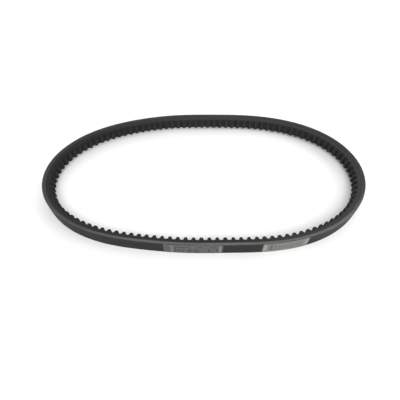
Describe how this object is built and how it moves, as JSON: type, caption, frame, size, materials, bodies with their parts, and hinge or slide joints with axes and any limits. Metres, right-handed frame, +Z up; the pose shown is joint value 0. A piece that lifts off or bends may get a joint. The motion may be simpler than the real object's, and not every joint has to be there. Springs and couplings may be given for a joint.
{
  "type": "v belt",
  "caption": "Raw-edge cogged V-belt: an endless wedge-section rubber loop, notched round its inner side, lying on its side edge in a relaxed oval.",
  "frame": {"origin": "middle of the relaxed loop's box, half way up the width of the belt", "axes": "+X along the long way of the oval, +Y away from the labelled side, +Z up, across the width of the belt, parallel to every axis that it bends about"},
  "size_m": [0.2688, 0.1422, 0.013],
  "materials": {
    "cover_fabric": "rubberised weave, matt",
    "tension_gum": "cut edge, matt, paler than the base",
    "cord_ply": "cut cord and gum, matt",
    "cogged_base": "fibre-loaded, ground flanks, satin",
    "label_print": "heat-transferred ink, slightly glossy"
  },
  "bodies": {
    "link_01": {"cover_fabric_01": "cover_fabric", "tension_gum_01": "tension_gum", "cord_ply_01": "cord_ply", "cogged_base_01": "cogged_base"},
    "link_02": {"cover_fabric_02": "cover_fabric", "tension_gum_02": "tension_gum", "cord_ply_02": "cord_ply", "cogged_base_02": "cogged_base"},
    "link_03": {"cover_fabric_03": "cover_fabric", "tension_gum_03": "tension_gum", "cord_ply_03": "cord_ply", "cogged_base_03": "cogged_base"},
    "link_04": {"cover_fabric_04": "cover_fabric", "tension_gum_04": "tension_gum", "cord_ply_04": "cord_ply", "cogged_base_04": "cogged_base"},
    "link_05": {"cover_fabric_05": "cover_fabric", "tension_gum_05": "tension_gum", "cord_ply_05": "cord_ply", "cogged_base_05": "cogged_base"},
    "link_06": {"cover_fabric_06": "cover_fabric", "tension_gum_06": "tension_gum", "cord_ply_06": "cord_ply", "cogged_base_06": "cogged_base", "size_label": "label_print"},
    "link_07": {"cover_fabric_07": "cover_fabric", "tension_gum_07": "tension_gum", "cord_ply_07": "cord_ply", "cogged_base_07": "cogged_base"},
    "link_08": {"cover_fabric_08": "cover_fabric", "tension_gum_08": "tension_gum", "cord_ply_08": "cord_ply", "cogged_base_08": "cogged_base", "code_label": "label_print"},
    "link_09": {"cover_fabric_09": "cover_fabric", "tension_gum_09": "tension_gum", "cord_ply_09": "cord_ply", "cogged_base_09": "cogged_base"},
    "link_10": {"cover_fabric_10": "cover_fabric", "tension_gum_10": "tension_gum", "cord_ply_10": "cord_ply", "cogged_base_10": "cogged_base"},
    "link_11": {"cover_fabric_11": "cover_fabric", "tension_gum_11": "tension_gum", "cord_ply_11": "cord_ply", "cogged_base_11": "cogged_base"},
    "link_12": {"cover_fabric_12": "cover_fabric", "tension_gum_12": "tension_gum", "cord_ply_12": "cord_ply", "cogged_base_12": "cogged_base"},
    "link_13": {"cover_fabric_13": "cover_fabric", "tension_gum_13": "tension_gum", "cord_ply_13": "cord_ply", "cogged_base_13": "cogged_base"},
    "link_14": {"cover_fabric_14": "cover_fabric", "tension_gum_14": "tension_gum", "cord_ply_14": "cord_ply", "cogged_base_14": "cogged_base"}
  },
  "joints": [
    {"name": "flex_01_02", "type": "hinge", "parent": "link_02", "child": "link_01", "pos_m": [-0.12539, 0.02068, 0], "axis": [0, 0, 1], "range_deg": [-2.86, 5.43]},
    {"name": "flex_02_03", "type": "hinge", "parent": "link_03", "child": "link_02", "pos_m": [-0.13186, -0.00759, 0], "axis": [0, 0, 1], "range_deg": [-5.02, 9.54]},
    {"name": "flex_03_04", "type": "hinge", "parent": "link_04", "child": "link_03", "pos_m": [-0.12052, -0.03428, 0], "axis": [0, 0, 1], "range_deg": [-2.08, 3.96]},
    {"name": "flex_04_05", "type": "hinge", "parent": "link_05", "child": "link_04", "pos_m": [-0.0581, -0.06394, 0], "axis": [0, 0, 1], "range_deg": [-1.51, 0.8]},
    {"name": "flex_05_06", "type": "hinge", "parent": "link_06", "child": "link_05", "pos_m": [-0.03472, -0.06677, 0], "axis": [0, 0, 1], "range_deg": [-7.47, 3.93]},
    {"name": "flex_06_07", "type": "hinge", "parent": "link_07", "child": "link_06", "pos_m": [0.01823, -0.06825, 0], "axis": [0, 0, 1], "range_deg": [-7.26, 3.83]},
    {"name": "flex_07_08", "type": "hinge", "parent": "link_07", "child": "link_08", "pos_m": [0.04178, -0.06759, 0], "axis": [0, 0, 1], "range_deg": [-1.31, 2.49]},
    {"name": "flex_08_09", "type": "hinge", "parent": "link_08", "child": "link_09", "pos_m": [0.12371, -0.0287, 0], "axis": [0, 0, 1], "range_deg": [-2.57, 1.36]},
    {"name": "oval_flex", "type": "hinge", "parent": "link_09", "child": "link_10", "pos_m": [0.13202, -0.00084, 0], "axis": [0, 0, 1], "range_deg": [-9.5, 5]},
    {"name": "flex_10_11", "type": "hinge", "parent": "link_10", "child": "link_11", "pos_m": [0.12397, 0.02709, 0], "axis": [0, 0, 1], "range_deg": [-6.22, 3.28]},
    {"name": "flex_11_12", "type": "hinge", "parent": "link_11", "child": "link_12", "pos_m": [0.03662, 0.06795, 0], "axis": [0, 0, 1], "range_deg": [-3.31, 6.28]},
    {"name": "flex_12_13", "type": "hinge", "parent": "link_12", "child": "link_13", "pos_m": [0.0013, 0.06864, 0], "axis": [0, 0, 1], "range_deg": [-4.12, 7.82]},
    {"name": "flex_13_14", "type": "hinge", "parent": "link_13", "child": "link_14", "pos_m": [-0.04562, 0.06518, 0], "axis": [0, 0, 1], "range_deg": [-2.32, 4.4]}
  ],
  "couplings": [
    {"joint": "flex_01_02", "follows": "oval_flex", "ratio": -0.57106},
    {"joint": "flex_02_03", "follows": "oval_flex", "ratio": -1.0039},
    {"joint": "flex_03_04", "follows": "oval_flex", "ratio": -0.41588},
    {"joint": "flex_04_05", "follows": "oval_flex", "ratio": 0.15854},
    {"joint": "flex_05_06", "follows": "oval_flex", "ratio": 0.78549},
    {"joint": "flex_06_07", "follows": "oval_flex", "ratio": 0.76416},
    {"joint": "flex_07_08", "follows": "oval_flex", "ratio": -0.26195},
    {"joint": "flex_08_09", "follows": "oval_flex", "ratio": 0.27051},
    {"joint": "flex_10_11", "follows": "oval_flex", "ratio": 0.6547},
    {"joint": "flex_11_12", "follows": "oval_flex", "ratio": -0.6606},
    {"joint": "flex_12_13", "follows": "oval_flex", "ratio": -0.82263},
    {"joint": "flex_13_14", "follows": "oval_flex", "ratio": -0.4627}
  ]
}
